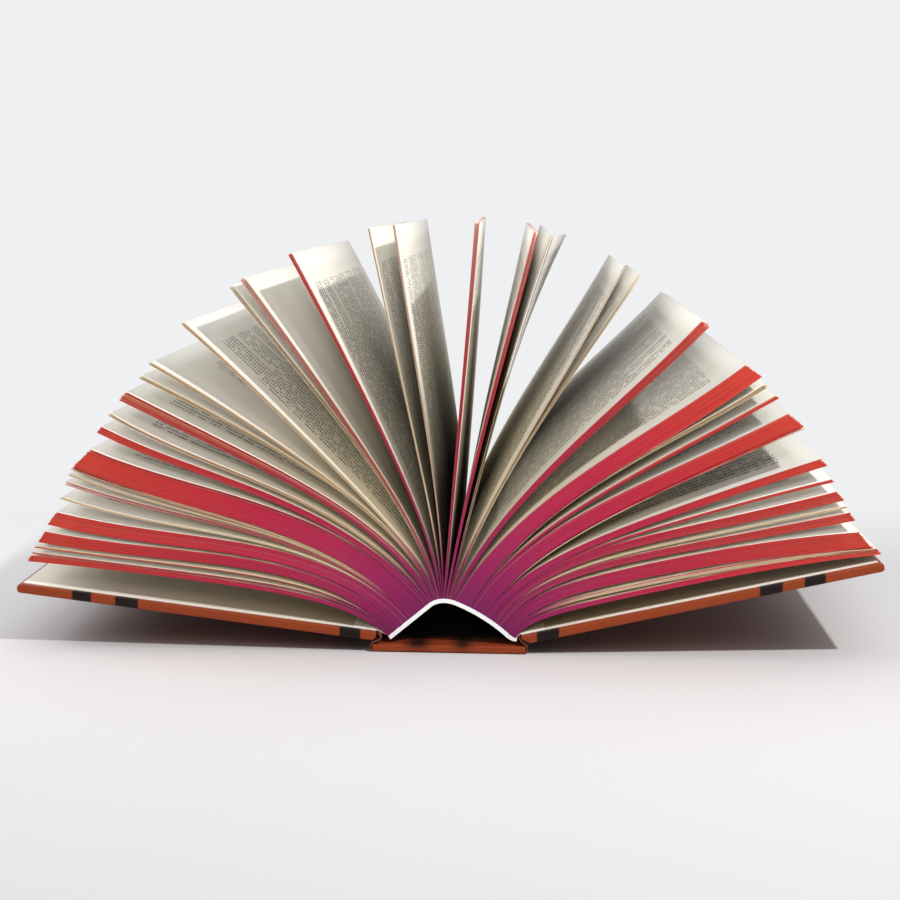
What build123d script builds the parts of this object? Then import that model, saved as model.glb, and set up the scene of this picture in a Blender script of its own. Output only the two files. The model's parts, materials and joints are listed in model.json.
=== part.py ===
from build123d import *
import math
import os

# An open case-bound book that stands on its flat spine with its leaves fanned out.
# Millimetres and degrees. X runs from the back cover to the front cover, Y from the head
# of the book to its tail, Z up. The origin is the middle of the spine's underside.

# Text block: 607 leaves, glued at the spine edge
page_width = 150.0
page_height = 229.0
leaf_thickness = 0.1
parting_gap = 0.4

# The leaves lie in groups. From the back cover round to the front cover, each row gives the
# number of leaves, the heading in which the group straightens, its heading at the fore-edge,
# how quickly it straightens, and how many times thicker it is at the fore-edge, where the
# leaves stand apart, than at the glue line, where they are pressed together.
leaf_groups = [
    (15, 172.5, 175.5, 6.5, 1.6),
    (4, 174.0, 173.5, 5.5, 1.5),
    (5, 175.0, 173.0, 4.4, 1.6),
    (32, 179.5, 170.2, 3.2, 1.5),
    (43, 180.0, 167.0, 2.9, 1.35),
    (5, 179.0, 162.0, 2.7, 1.6),
    (6, 173.5, 161.5, 2.8, 2.33),
    (4, 173.0, 159.0, 2.7, 1.75),
    (6, 169.5, 158.5, 3.0, 2.0),
    (70, 175.0, 158.0, 2.2, 1.26),
    (4, 184.0, 156.5, 1.6, 1.75),
    (19, 180.0, 153.0, 1.5, 1.58),
    (6, 173.0, 149.0, 1.9, 2.0),
    (18, 155.0, 154.0, 3.6, 2.39),
    (4, 150.0, 154.5, 3.7, 1.75),
    (4, 144.5, 151.0, 5.2, 2.75),
    (5, 134.5, 139.0, 8.5, 2.2),
    (3, 130.0, 128.5, 3.4, 1.67),
    (7, 124.5, 127.0, 5.7, 2.0),
    (7, 116.0, 119.0, 5.4, 2.29),
    (4, 103.0, 102.0, 7.4, 1.75),
    (4, 100.0, 99.0, 4.4, 2.0),
    (8, 85.0, 86.0, 2.1, 2.25),
    (9, 73.0, 76.5, 1.5, 2.22),
    (4, 77.0, 72.0, 6.9, 2.0),
    (4, 59.0, 63.0, 3.8, 1.5),
    (4, 50.0, 58.0, 1.5, 2.25),
    (15, 38.0, 47.0, 2.3, 2.53),
    (62, 26.0, 38.0, 2.2, 1.23),
    (4, 14.0, 34.5, 1.5, 1.75),
    (11, 29.0, 30.0, 3.5, 1.45),
    (56, 23.0, 28.0, 3.4, 1.32),
    (6, 26.5, 24.5, 4.2, 2.67),
    (21, 21.0, 18.5, 5.2, 1.62),
    (7, 18.0, 14.5, 5.1, 1.86),
    (24, 12.0, 15.0, 4.4, 1.75),
    (4, 12.5, 13.0, 5.3, 1.75),
    (20, 11.5, 12.0, 5.7, 1.8),
    (44, 13.5, 4.0, 8.5, 1.55),
    (12, 13.5, 5.0, 12.0, 1.0),
    (17, 14.0, 7.0, 17.0, 1.41),
]
# A leaf drifts slowly from the one heading to the other along its length, by this power.
drift_power = 2.5
# The shape of a leaf is followed in steps, and its face gets a station every so often; a face
# shorter than the last length is straight.
step_length = 0.5
station_length = 25.0
straight_length = 4.0
# The leaves next to the back cover lean out from the glue line, less and less with each leaf.
back_lean = 10.0
lean_depth = 4.0

# Lining on the spine edge of the block: stiff white card, arched clear of the flat spine
lining_thickness = 2.2
back_flank_angle = 40.0
front_flank_angle = 30.0
crown_radius = 9.0
arch_offset = 1.0
foot_gap = 1.1

# Case: two cover boards and a spine board, wrapped in one covering
board_thickness = 3.0
joint_setback = 7.6
spine_board_thickness = 2.3
spine_margin = 5.1
covering_thickness = 0.3
turn_in = 15.0
square = 3.0
edge_rounding = 0.8
fore_edge_rounding = 1.5
endpaper_thickness = 0.3
endpaper_margin = 1.8

# How each cover hangs at its joint: tilt, then the upper inner corner of the covered board
# measured in from the spine board's edge and up from the block's foot, then the bevel worn
# on the board's lower inner edge, up the end and along the underside.
back_tilt = 6.8
back_hinge_inset = 1.6
back_hinge_rise = 2.1
back_bevel_height = 1.2
back_bevel_length = 1.2
front_tilt = 12.8
front_hinge_inset = 2.0
front_hinge_rise = 1.5
front_bevel_height = 2.2
front_bevel_length = 3.0
hinge_gap = 0.35
# The covering's free stretch at each joint: it hugs the spine board's edge, runs in over it and
# curls up to a point beside and below the board's upper inner corner.
joint_thickness = 0.4
joint_clearance = 0.05
joint_shelf = 0.9
joint_end_inset = 0.75
joint_end_drop = 1.05

os.makedirs("parts", exist_ok=True)

# Sizes that follow from the driving dimensions
block_thickness = leaf_thickness * sum(group[0] for group in leaf_groups)
case_height = page_height + 2 * square
spine_stack = spine_board_thickness + 2 * covering_thickness
cover_stack = board_thickness + 2 * covering_thickness
board_width = page_width - joint_setback + square
covered_width = board_width + 2 * covering_thickness
head_y = -page_height / 2

back_flank = math.radians(back_flank_angle)
front_flank = math.radians(front_flank_angle)
crown_length = crown_radius * (back_flank + front_flank)
back_flank_length = (
    (block_thickness - crown_length) * math.sin(front_flank)
    + crown_radius * (math.cos(back_flank) - math.cos(front_flank))
) / (math.sin(back_flank) + math.sin(front_flank))
front_flank_length = block_thickness - crown_length - back_flank_length
arch_span = (
    back_flank_length * math.cos(back_flank)
    + crown_radius * (math.sin(back_flank) + math.sin(front_flank))
    + front_flank_length * math.cos(front_flank)
)
foot_z = spine_stack + foot_gap + lining_thickness * math.cos(back_flank)
back_foot = (arch_offset - arch_span / 2, foot_z)
front_foot = (arch_offset + arch_span / 2, foot_z)
spine_half = arch_span / 2 + spine_margin
crown_centre = (
    back_foot[0] + back_flank_length * math.cos(back_flank) + crown_radius * math.sin(back_flank),
    back_foot[1] + back_flank_length * math.sin(back_flank) - crown_radius * math.cos(back_flank),
)


def at(point, y):
    """A point of the head-on outline (x, z), set at depth y."""
    return Vector(point[0], y, point[1])


def step(point, heading, length):
    """The point that lies a length away from another in a heading given in radians."""
    return (point[0] + length * math.cos(heading), point[1] + length * math.sin(heading))


def arch_point(along, depth=0.0):
    """Point on the arch, counted from the back foot, and the heading square to it there."""
    if along <= back_flank_length:
        square_to = math.pi / 2 + back_flank
        point = step(back_foot, back_flank, along)
    elif along <= back_flank_length + crown_length:
        square_to = math.pi / 2 + back_flank - (along - back_flank_length) / crown_radius
        point = step(crown_centre, square_to, crown_radius)
    else:
        square_to = math.pi / 2 - front_flank
        point = step(front_foot, math.pi - front_flank, block_thickness - along)
    return step(point, square_to, -depth), square_to


def arch_edges(depth, y):
    """The arch as line, arc and line, moved towards its hollow by a depth."""
    lower_back = at(arch_point(0.0, depth)[0], y)
    upper_back = at(arch_point(back_flank_length, depth)[0], y)
    crown_top = at(step(crown_centre, math.pi / 2, crown_radius - depth), y)
    upper_front = at(arch_point(back_flank_length + crown_length, depth)[0], y)
    lower_front = at(arch_point(block_thickness, depth)[0], y)
    return [
        Line(lower_back, upper_back),
        ThreePointArc(upper_back, crown_top, upper_front),
        Line(upper_front, lower_front),
    ]


def leaf_faces(group, start):
    """The two outer faces of a leaf group as point lists from the glue line to the fore-edge.

    The middle leaf leaves the arch square to it and turns to its own heading; the faces lie
    half the group's thickness to each side and are as long as a page is wide.
    """
    leaves, run, tip, settle, looseness = group
    root_thickness = leaves * leaf_thickness
    tip_thickness = root_thickness * looseness
    middle = start + root_thickness / 2
    point, root = arch_point(middle)
    root += math.radians(back_lean) * math.exp(-middle / lean_depth)
    run = math.radians(run)
    tip = math.radians(tip)
    faces = ([], [])
    lengths = [0.0, 0.0]
    travelled = 0.0
    while min(lengths) < page_width:
        share = min(travelled / page_width, 1.0)
        heading = run + (root - run) * (1 - share) ** settle + (tip - run) * share**drift_power
        half = (root_thickness + (tip_thickness - root_thickness) * share) / 2
        for face, side in ((0, math.pi / 2), (1, -math.pi / 2)):
            spot = step(point, heading + side, half)
            if lengths[face] < page_width:
                if faces[face]:
                    lengths[face] += math.dist(spot, faces[face][-1])
                faces[face].append(spot)
        point = step(point, heading, step_length)
        travelled += step_length
    for face in (0, 1):
        last = faces[face][-1]
        before = faces[face][-2]
        back = (lengths[face] - page_width) / math.dist(last, before)
        faces[face][-1] = (last[0] + back * (before[0] - last[0]), last[1] + back * (before[1] - last[1]))
    return faces


def hinge_tongue(foot, corner, back_side):
    """The strip of the folded endpaper that runs from the block's foot to the board."""
    heading = math.atan2(corner[1] - foot[1], corner[0] - foot[0])
    length = math.dist(foot, corner) - hinge_gap
    count = round(length / step_length)
    up = -math.pi / 2 if back_side else math.pi / 2
    lower = [step(foot, heading, length * i / count) for i in range(count + 1)]
    upper = [step(point, heading + up, endpaper_thickness) for point in lower]
    return (lower, upper) if back_side else (upper, lower)


def clearance(point, line):
    """How far a point lies to the left of a line of points, and the nearest place on that line."""
    nearest = min(range(len(line)), key=lambda i: math.dist(point, line[i]))
    before = line[max(nearest - 1, 0)]
    after = line[min(nearest + 1, len(line) - 1)]
    along = (after[0] - before[0], after[1] - before[1])
    across = (point[0] - line[nearest][0], point[1] - line[nearest][1])
    return (along[0] * across[1] - along[1] * across[0]) / math.hypot(*along), nearest


def parting(face, other):
    """Where a group's last face and the next group's first face part, as a place on each.

    The search runs inwards from the free end of the shorter one. Groups that lie together at
    the fore-edge do not part, and None is returned.
    """
    swapped = len(other) < len(face)
    line, still, sign = (other, face, -1) if swapped else (face, other, 1)
    index = len(line) - 1
    gap, nearest = clearance(line[index], still)
    if gap * sign < parting_gap:
        return None
    while index > 1 and gap * sign > parting_gap:
        index -= 1
        gap, nearest = clearance(line[index], still)
    nearest = max(nearest, 1)
    return (nearest, index) if swapped else (index, nearest)


def face_edge(points, y):
    """A smooth edge through a leaf face, with its stations closer together near the glue line."""
    length = (len(points) - 1) * step_length
    if length < straight_length:
        return Line(at(points[0], y), at(points[-1], y))
    count = max(3, round(length / station_length) + 2)
    picks = sorted({round((len(points) - 1) * (i / count) ** 1.5) for i in range(count + 1)})
    return Spline([at(points[i], y) for i in picks])


def text_block():
    """All the leaves as one solid: glued at the arch, parted into groups further out."""
    y = head_y
    groups = [hinge_tongue(back_foot, back_corner, True)]
    start = 0.0
    for group in leaf_groups:
        groups.append(leaf_faces(group, start))
        start += group[0] * leaf_thickness
    groups.append(hinge_tongue(front_foot, front_corner, False))

    edges = [Line(at(back_foot, y), at(groups[0][0][-1], y))]
    outline_end = groups[0][0][-1]
    rising = None
    for number, (first_face, last_face) in enumerate(groups):
        if rising is not None:
            edges.append(face_edge(first_face[rising:], y))
            outline_end = first_face[-1]
        fall = parting(last_face, groups[number + 1][0]) if number + 1 < len(groups) else (0, 0)
        if fall is None:
            rising = None
            continue
        edges.append(Line(at(outline_end, y), at(last_face[-1], y)))
        if number + 1 < len(groups):
            index, rising = fall
            edges.append(face_edge(last_face[index:][::-1], y))
            edges.append(Line(at(last_face[index], y), at(groups[number + 1][0][rising], y)))
    edges.append(Line(at(groups[-1][1][-1], y), at(front_foot, y)))
    edges += arch_edges(0.0, y)
    outline = Face(Wire(edges))
    return extrude(outline, amount=page_height, dir=(0, 1, 0))


def band(path, thickness, y, length):
    """A thin sheet that follows a path of lines and arcs, cut square at both ends."""
    sides = []
    for side in (thickness / 2, -thickness / 2):
        edges = []
        for edge in path:
            spots = []
            for share in (0.0, 0.5, 1.0):
                ahead = edge % share
                spots.append(edge @ share + Vector(-ahead.Z, 0, ahead.X) * side)
            straight = edge.geom_type == GeomType.LINE
            edges.append(Line(spots[0], spots[2]) if straight else ThreePointArc(*spots))
        sides.append(edges)
    ends = [
        Line(sides[0][0] @ 0, sides[1][0] @ 0),
        Line(sides[0][-1] @ 1, sides[1][-1] @ 1),
    ]
    return extrude(Face(Wire(sides[0] + sides[1] + ends)), amount=length, dir=(0, 1, 0))


def spine_lining():
    """The lining card: an arch with straight flanks and a round crown."""
    y = head_y
    outer = arch_edges(0.0, y)
    inner = arch_edges(lining_thickness, y)
    ends = [
        Line(outer[0] @ 0, inner[0] @ 0),
        Line(outer[2] @ 1, inner[2] @ 1),
    ]
    return extrude(Face(Wire(outer + inner + ends)), amount=page_height, dir=(0, 1, 0))


def cover_corner(side, inset, rise):
    """The upper inner corner of a covered board, where its cover turns."""
    return (side * (spine_half - inset), foot_z + rise)


def cover_plane(side, tilt, corner):
    """Local axes of a cover: x outwards along the board, z square to its inner face."""
    slope = math.radians(tilt)
    return Plane(
        origin=at(corner, 0.0),
        x_dir=(side * math.cos(slope), 0, math.sin(slope)),
        z_dir=(-side * math.sin(slope), 0, math.cos(slope)),
    )


def board_section(bevel, shrink):
    """End view of a board, with its lower inner edge worn away; shrink takes off the covering."""
    left, right = shrink, covered_width - shrink
    top, bottom = -shrink, shrink - cover_stack
    height, along = bevel
    return Polyline(
        (left, 0, top),
        (right, 0, top),
        (right, 0, bottom),
        (left + along, 0, bottom),
        (left, 0, bottom + height),
        close=True,
    )


def prism(section, length):
    """Extrude a section drawn in the XZ plane, centred on y = 0."""
    solid = extrude(Face(Wire(section.edges())), amount=length, dir=(0, 1, 0))
    return Pos(0, -length / 2, 0) * solid


def board(bevel, shrink=covering_thickness):
    """A board with its fore-edge rounded; shrink takes off the covering."""
    solid = prism(board_section(bevel, shrink), case_height - 2 * shrink)
    fore_edges = solid.edges().filter_by(Axis.Y).sort_by(Axis.X)[-2:]
    return fillet(fore_edges, fore_edge_rounding - shrink)


def covered_board(bevel):
    """Outside of a wrapped board, with the covering drawn softly round its other edges."""
    solid = board(bevel, shrink=0.0)
    hinge_edges = solid.edges().filter_by(Axis.Y).sort_by(Axis.X)[:3]
    ends = [edge for face in solid.faces().filter_by(Axis.Y) for edge in face.edges()]
    return fillet(hinge_edges + ends, edge_rounding)


def window():
    """The bare part of a board's inner face, between the turned-in margins of the covering."""
    length = covered_width - turn_in - covering_thickness
    width = case_height - 2 * turn_in
    place = Pos(covering_thickness + length / 2, 0, -covering_thickness / 2)
    return place * Box(length, width, covering_thickness)


def covering(bevel):
    """The covering of one board: under it, round its edges and turned in over its inner face."""
    return covered_board(bevel) - board(bevel) - window()


def endpaper():
    """The pasted half of an endpaper: it bridges the turned-in margins and lies on the board."""
    length = covered_width - endpaper_margin - covering_thickness
    place = Pos(covering_thickness + length / 2, 0, endpaper_thickness / 2)
    sheet = place * Box(length, page_height, endpaper_thickness)
    return sheet + window()


def spine_board():
    place = Pos(0, 0, covering_thickness + spine_board_thickness / 2)
    return place * Box(2 * spine_half, case_height - 2 * covering_thickness, spine_board_thickness)


def spine_covering():
    """The covering under the spine board, turned in over its head and tail."""
    wrapped = Pos(0, 0, spine_stack / 2) * Box(2 * spine_half, case_height, spine_stack)
    ends = wrapped.edges().filter_by(Axis.X)
    wrapped = fillet(ends, edge_rounding)
    bare = Pos(0, 0, spine_stack) * Box(2 * spine_half, case_height - 2 * turn_in, 2 * covering_thickness)
    return wrapped - spine_board() - bare


def joint(side, corner):
    """The covering across the joint: up the spine board's long edge, over it and up to the cover."""
    y = -case_height / 2
    half = joint_thickness / 2
    fold = half + joint_clearance
    outer = side * (spine_half + half)
    inner = side * (spine_half - joint_clearance)
    foot = side * (spine_half - joint_shelf)
    shelf_z = spine_stack + fold
    turn = (inner + side * fold * math.cos(math.pi / 4), spine_stack + fold * math.sin(math.pi / 4))
    end = (corner[0] - side * joint_end_inset, corner[1] - joint_end_drop)
    shelf = Line(at((inner, shelf_z), y), at((foot, shelf_z), y))
    path = [
        Line(at((outer, half), y), at((outer, spine_stack), y)),
        ThreePointArc(at((outer, spine_stack), y), at(turn, y), at((inner, shelf_z), y)),
        shelf,
        TangentArc(at((foot, shelf_z), y), at(end, y), tangent=shelf % 1),
    ]
    return band(path, joint_thickness, y, case_height)


back_corner = cover_corner(-1, back_hinge_inset, back_hinge_rise)
front_corner = cover_corner(1, front_hinge_inset, front_hinge_rise)

nodes = {
    "text_block": text_block(),
    "spine_lining": spine_lining(),
    "spine_board": spine_board(),
    "spine_covering": spine_covering(),
    "back_joint": joint(-1, back_corner),
    "front_joint": joint(1, front_corner),
}
for name, side, tilt, corner, bevel in (
    ("back", -1, back_tilt, back_corner, (back_bevel_height, back_bevel_length)),
    ("front", 1, front_tilt, front_corner, (front_bevel_height, front_bevel_length)),
):
    hung = Location(cover_plane(side, tilt, corner))
    nodes[name + "_board"] = hung * board(bevel)
    nodes[name + "_covering"] = hung * covering(bevel)
    nodes[name + "_endpaper"] = hung * endpaper()

for name, shape in nodes.items():
    export_step(shape, f"parts/{name}.step")
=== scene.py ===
import bmesh
import bpy
import json
import math
import random
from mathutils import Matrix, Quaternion, Vector


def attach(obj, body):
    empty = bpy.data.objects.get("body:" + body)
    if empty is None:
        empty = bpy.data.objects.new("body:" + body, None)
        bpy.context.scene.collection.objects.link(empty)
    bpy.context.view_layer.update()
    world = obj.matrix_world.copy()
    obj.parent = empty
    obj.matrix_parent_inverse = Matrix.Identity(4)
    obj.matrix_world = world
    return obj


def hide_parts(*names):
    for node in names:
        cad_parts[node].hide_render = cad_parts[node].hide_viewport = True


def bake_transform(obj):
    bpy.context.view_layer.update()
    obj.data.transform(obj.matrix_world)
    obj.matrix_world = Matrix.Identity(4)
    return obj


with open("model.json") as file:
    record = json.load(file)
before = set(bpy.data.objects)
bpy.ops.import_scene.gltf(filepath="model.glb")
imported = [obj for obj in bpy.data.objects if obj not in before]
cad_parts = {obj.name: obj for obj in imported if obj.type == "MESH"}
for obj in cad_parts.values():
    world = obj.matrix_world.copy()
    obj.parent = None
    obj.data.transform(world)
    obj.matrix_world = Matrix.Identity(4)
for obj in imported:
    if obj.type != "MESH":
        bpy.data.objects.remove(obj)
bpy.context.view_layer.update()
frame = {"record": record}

# Camera
# The photograph is taken from in front of the head of the book, a little above the leaves' tips,
# with the book turned a touch to the left of the lens axis.

camera_data = bpy.data.cameras.new("camera")
camera_data.lens = 74.0
camera_data.sensor_width = 36.0
camera_data.clip_start = 0.05
camera_data.clip_end = 20.0
camera = bpy.data.objects.new("camera", camera_data)
bpy.context.scene.collection.objects.link(camera)
camera.location = (0.02993, -0.8395, 0.17984)
looking = Vector((-0.0413, 0.9901, -0.1343))
camera.rotation_mode = "QUATERNION"
camera.rotation_quaternion = looking.to_track_quat("-Z", "Y") @ Quaternion((0, 0, 1), math.radians(0.48))
bpy.context.scene.camera = camera
bpy.context.scene.view_settings.view_transform = "Standard"

# Light
# One small studio lamp stands a metre away, to the upper right and in front, and throws crisp
# shadows. A broad soft one to the left fills them, the pale wall behind and the room add a little,
# and some light comes level from the front, which only brightens the leaves' edges.


def calc(tree, operation, first, second=None, third=None):
    """A maths node; its inputs are sockets or numbers."""
    node = tree.nodes.new("ShaderNodeMath")
    node.operation = operation
    for place, value in enumerate((first, second, third)):
        if value is None:
            continue
        if isinstance(value, (int, float)):
            node.inputs[place].default_value = value
        else:
            tree.links.new(value, node.inputs[place])
    return node.outputs[0]


def spread(tree, value, low, high, at_low=0.0, at_high=1.0, soft=False):
    """A value carried from one span over to another, and held at its ends."""
    node = tree.nodes.new("ShaderNodeMapRange")
    node.interpolation_type = "SMOOTHSTEP" if soft else "LINEAR"
    node.inputs["From Min"].default_value = low
    node.inputs["From Max"].default_value = high
    node.inputs["To Min"].default_value = at_low
    node.inputs["To Max"].default_value = at_high
    tree.links.new(value, node.inputs["Value"])
    return node.outputs["Result"]


def apart(tree, vector):
    """The three parts of a place: across, along and up."""
    node = tree.nodes.new("ShaderNodeSeparateXYZ")
    tree.links.new(vector, node.inputs[0])
    return node.outputs


key_data = bpy.data.lights.new("key", "AREA")
key_data.shape = "DISK"
key_data.size = 0.04
key_data.energy = 5.0
key_data.color = (1.0, 0.985, 0.97)
key = bpy.data.objects.new("key", key_data)
bpy.context.scene.collection.objects.link(key)
key.location = (0.42, -0.46, 0.70)
key.rotation_mode = "QUATERNION"
key.rotation_quaternion = (Vector((0, 0, 0.06)) - key.location).to_track_quat("-Z", "Y")

soft_data = bpy.data.lights.new("soft_left", "AREA")
soft_data.shape = "DISK"
soft_data.size = 0.6
soft_data.energy = 2.6
soft_data.color = (0.98, 0.99, 1.0)
soft = bpy.data.objects.new("soft_left", soft_data)
bpy.context.scene.collection.objects.link(soft)
soft.location = (-0.70, 0.0, 0.50)
soft.rotation_mode = "QUATERNION"
soft.rotation_quaternion = (Vector((0, 0, 0.05)) - soft.location).to_track_quat("-Z", "Y")

front_data = bpy.data.lights.new("front_fill", "SUN")
front_data.energy = 0.86
front_data.angle = math.radians(4.0)
front = bpy.data.objects.new("front_fill", front_data)
bpy.context.scene.collection.objects.link(front)
front.rotation_mode = "QUATERNION"
front.rotation_quaternion = Vector((0.0, 1.0, -0.02)).to_track_quat("-Z", "Y")
front.visible_glossy = False

world = bpy.data.worlds.new("room")
bpy.context.scene.world = world
world.use_nodes = True
tree = world.node_tree
nodes = tree.nodes
links = tree.links
nodes.clear()
output = nodes.new("ShaderNodeOutputWorld")
direction = nodes.new("ShaderNodeTexCoord")
room_light = spread(tree, apart(tree, direction.outputs["Generated"])["Z"], 0.0, 1.0, 0.01, 0.72, soft=True)
towards_wall = nodes.new("ShaderNodeVectorMath")
towards_wall.operation = "DOT_PRODUCT"
towards_wall.inputs[1].default_value = (0.0, 0.85, 0.53)
links.new(direction.outputs["Generated"], towards_wall.inputs[0])
wall_light = spread(tree, towards_wall.outputs["Value"], 0.35, 0.95, 0.0, 0.6, soft=True)
fill = nodes.new("ShaderNodeBackground")
fill.inputs["Color"].default_value = (0.96, 0.975, 1.0, 1)
links.new(calc(tree, "ADD", room_light, wall_light), fill.inputs["Strength"])
wall_color = (0.863, 0.871, 0.888, 1)
backdrop = nodes.new("ShaderNodeBackground")
backdrop.inputs["Color"].default_value = wall_color
backdrop.inputs["Strength"].default_value = 1.0
ray = nodes.new("ShaderNodeLightPath")
choose = nodes.new("ShaderNodeMixShader")
links.new(ray.outputs["Is Camera Ray"], choose.inputs["Fac"])
links.new(fill.outputs["Background"], choose.inputs[1])
links.new(backdrop.outputs["Background"], choose.inputs[2])
links.new(choose.outputs["Shader"], output.inputs["Surface"])

# Table
# A plain pale table top; seen by the camera it passes into the pale wall behind without a line.

bpy.ops.mesh.primitive_plane_add(size=6, location=(0, 1.2, -0.0002))
table = bpy.context.object
table.name = "table"
bpy.ops.object.transform_apply(location=True, rotation=True, scale=True)
paint = bpy.data.materials.new("table_top")
paint.use_nodes = True
tree = paint.node_tree
nodes = tree.nodes
links = tree.links
surface = nodes["Principled BSDF"]
surface.inputs["Roughness"].default_value = 0.8
surface.inputs["Specular IOR Level"].default_value = 0.2
place = nodes.new("ShaderNodeTexCoord")
on_table = apart(tree, place.outputs["Object"])
# Painted shade: the top's colour grows darker towards the right, and darker towards the front, where the key
# lamp falls strongest.
painted_side_shade = nodes.new("ShaderNodeMix")
painted_side_shade.data_type = "RGBA"
painted_side_shade.inputs[6].default_value = (0.70, 0.685, 0.688, 1)
painted_side_shade.inputs[7].default_value = (0.645, 0.634, 0.638, 1)
links.new(spread(tree, on_table["X"], -0.10, 0.25), painted_side_shade.inputs[0])
painted_front_shade = spread(tree, on_table["Y"], -0.13, -0.45, 0.0, 0.14, soft=True)
evened = nodes.new("ShaderNodeMix")
evened.data_type = "RGBA"
evened.inputs[7].default_value = (0, 0, 0, 1)
links.new(painted_front_shade, evened.inputs[0])
links.new(painted_side_shade.outputs[2], evened.inputs[6])
links.new(evened.outputs[2], surface.inputs["Base Color"])
wall = nodes.new("ShaderNodeEmission")
wall.inputs["Color"].default_value = wall_color
fade = spread(tree, on_table["Y"], 0.04, 0.30, soft=True)
ray = nodes.new("ShaderNodeLightPath")
blend = nodes.new("ShaderNodeMixShader")
links.new(calc(tree, "MULTIPLY", ray.outputs["Is Camera Ray"], fade), blend.inputs["Fac"])
links.new(surface.outputs["BSDF"], blend.inputs[1])
links.new(wall.outputs["Emission"], blend.inputs[2])
links.new(blend.outputs["Shader"], nodes["Material Output"].inputs["Surface"])
table.data.materials.append(paint)

# Leaves
# About six hundred sheets of thin cream book paper, glued along the arched spine edge. They
# fall apart into groups that curve over to both sides. Head, tail and fore-edge are stained
# from purple at the spine through crimson to orange-red; the faces carry rows of print.

page_width = 0.150
page_height = 0.229
leaf_thickness = 0.0001
back_flank = math.radians(40.0)
front_flank = math.radians(30.0)
crown_radius = 0.009
arch_offset = 0.001
foot_height = 0.005685
most_sprung = 0.00165
crown_sprung = 0.00073
back_lean = math.radians(10.0)
lean_depth = 0.004
drift_power = 2.5
line_step = 0.0005

# From the back cover round to the front cover: name, number of leaves, the heading in which the
# group straightens, its heading at the fore-edge, how quickly it straightens, its thickness in
# millimetres at the fore-edge, how much of the edge stain turns cream, and how many
# millimetres the tail end of the fore-edge stands further along the fan than the head end.
leaf_groups = [
    ("leaves_back_01", 15, 172.5, 175.5, 6.5, 2.4, 0.0, 0),
    ("leaves_back_02", 4, 174.0, 173.5, 5.5, 0.6, 0.7, 0),
    ("leaves_back_03", 5, 175.0, 173.0, 4.4, 0.8, 0.6, 0),
    ("leaves_back_04", 32, 179.5, 170.2, 3.2, 4.8, 0.0, 0),
    ("leaves_back_05", 43, 180.0, 167.0, 2.9, 5.8, 0.0, 0),
    ("leaves_back_06", 5, 179.0, 162.0, 2.7, 0.8, 0.9, 0),
    ("leaves_back_07", 6, 173.5, 161.5, 2.8, 1.4, 0.35, 0),
    ("leaves_back_08", 4, 173.0, 159.0, 2.7, 0.7, 0.9, 0),
    ("leaves_back_09", 6, 169.5, 158.5, 3.0, 1.2, 0.7, 0),
    ("leaves_back_10", 70, 175.0, 158.0, 2.2, 8.8, 0.0, 0),
    ("leaves_back_11", 4, 184.0, 156.5, 1.6, 0.7, 0.1, 0),
    ("leaves_back_12", 19, 180.0, 153.0, 1.5, 3.0, 0.05, 0),
    ("leaves_back_13", 6, 173.0, 149.0, 1.9, 1.2, 0.6, 0),
    ("leaves_back_14", 18, 155.0, 154.0, 3.6, 4.3, 0.05, 0),
    ("leaves_back_15", 4, 150.0, 154.5, 3.7, 1.5, 1.0, 0),
    ("leaves_back_16", 4, 144.5, 151.0, 5.2, 1.1, 0.8, 0),
    ("leaves_back_17", 5, 134.5, 139.0, 8.5, 1.3, 0.95, 0),
    ("leaves_back_18", 3, 130.0, 128.5, 3.4, 1.8, 1.0, 0),
    ("leaves_back_19", 7, 124.5, 127.0, 5.7, 1.9, 0.32, 0),
    ("leaves_back_20", 7, 116.0, 119.0, 5.4, 1.6, 0.05, 0),
    ("leaves_back_21", 4, 103.0, 102.0, 7.4, 0.7, 0.7, 0),
    ("leaves_back_22", 4, 100.0, 99.0, 4.4, 0.8, 0.45, 0),
    ("leaves_middle", 8, 85.0, 86.0, 2.1, 1.8, 0.0, -3.0),
    ("leaves_front_01", 9, 73.0, 76.5, 1.5, 2.0, 0.0, -3.5),
    ("leaves_front_02a", 2, 76.4, 71.1, 6.9, 0.4, 0.95, -3.0),
    ("leaves_front_02b", 2, 76.3, 71.0, 6.9, 0.4, 0.95, 10.0),
    ("leaves_front_03", 4, 59.0, 63.0, 3.8, 0.6, 0.8, 4.4),
    ("leaves_front_04", 4, 50.0, 58.0, 1.5, 1.3, 0.8, 7.8),
    ("leaves_front_05", 15, 38.0, 47.0, 2.3, 3.8, 0.0, 0),
    ("leaves_front_06", 62, 26.0, 38.0, 2.2, 7.6, 0.0, 0),
    ("leaves_front_07", 4, 14.0, 34.5, 1.5, 1.7, 1.0, 0),
    ("leaves_front_08", 11, 29.0, 30.0, 3.5, 1.6, 0.1, 0),
    ("leaves_front_09", 56, 23.0, 28.0, 3.4, 7.4, 0.0, 0),
    ("leaves_front_10", 6, 26.5, 24.5, 4.2, 1.6, 0.35, 0),
    ("leaves_front_11", 21, 21.0, 18.5, 5.2, 3.4, 0.0, 0),
    ("leaves_front_12", 7, 18.0, 14.5, 5.1, 1.3, 0.0, 0),
    ("leaves_front_13", 24, 12.0, 15.0, 4.4, 4.2, 0.1, 0),
    ("leaves_front_14", 4, 12.5, 13.0, 5.3, 0.7, 0.7, 0),
    ("leaves_front_15", 20, 11.5, 12.0, 5.7, 3.6, 0.05, 0),
    ("leaves_front_16", 44, 13.5, 4.0, 8.5, 6.8, 0.0, 0),
    ("leaves_front_17", 12, 13.5, 5.0, 12.0, 2.2, 0.9, 0),
    ("leaves_front_18", 17, 14.0, 7.0, 17.0, 2.4, 0.05, 0),
]
block_thickness = leaf_thickness * sum(group[1] for group in leaf_groups)
crown_length = crown_radius * (back_flank + front_flank)
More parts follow.
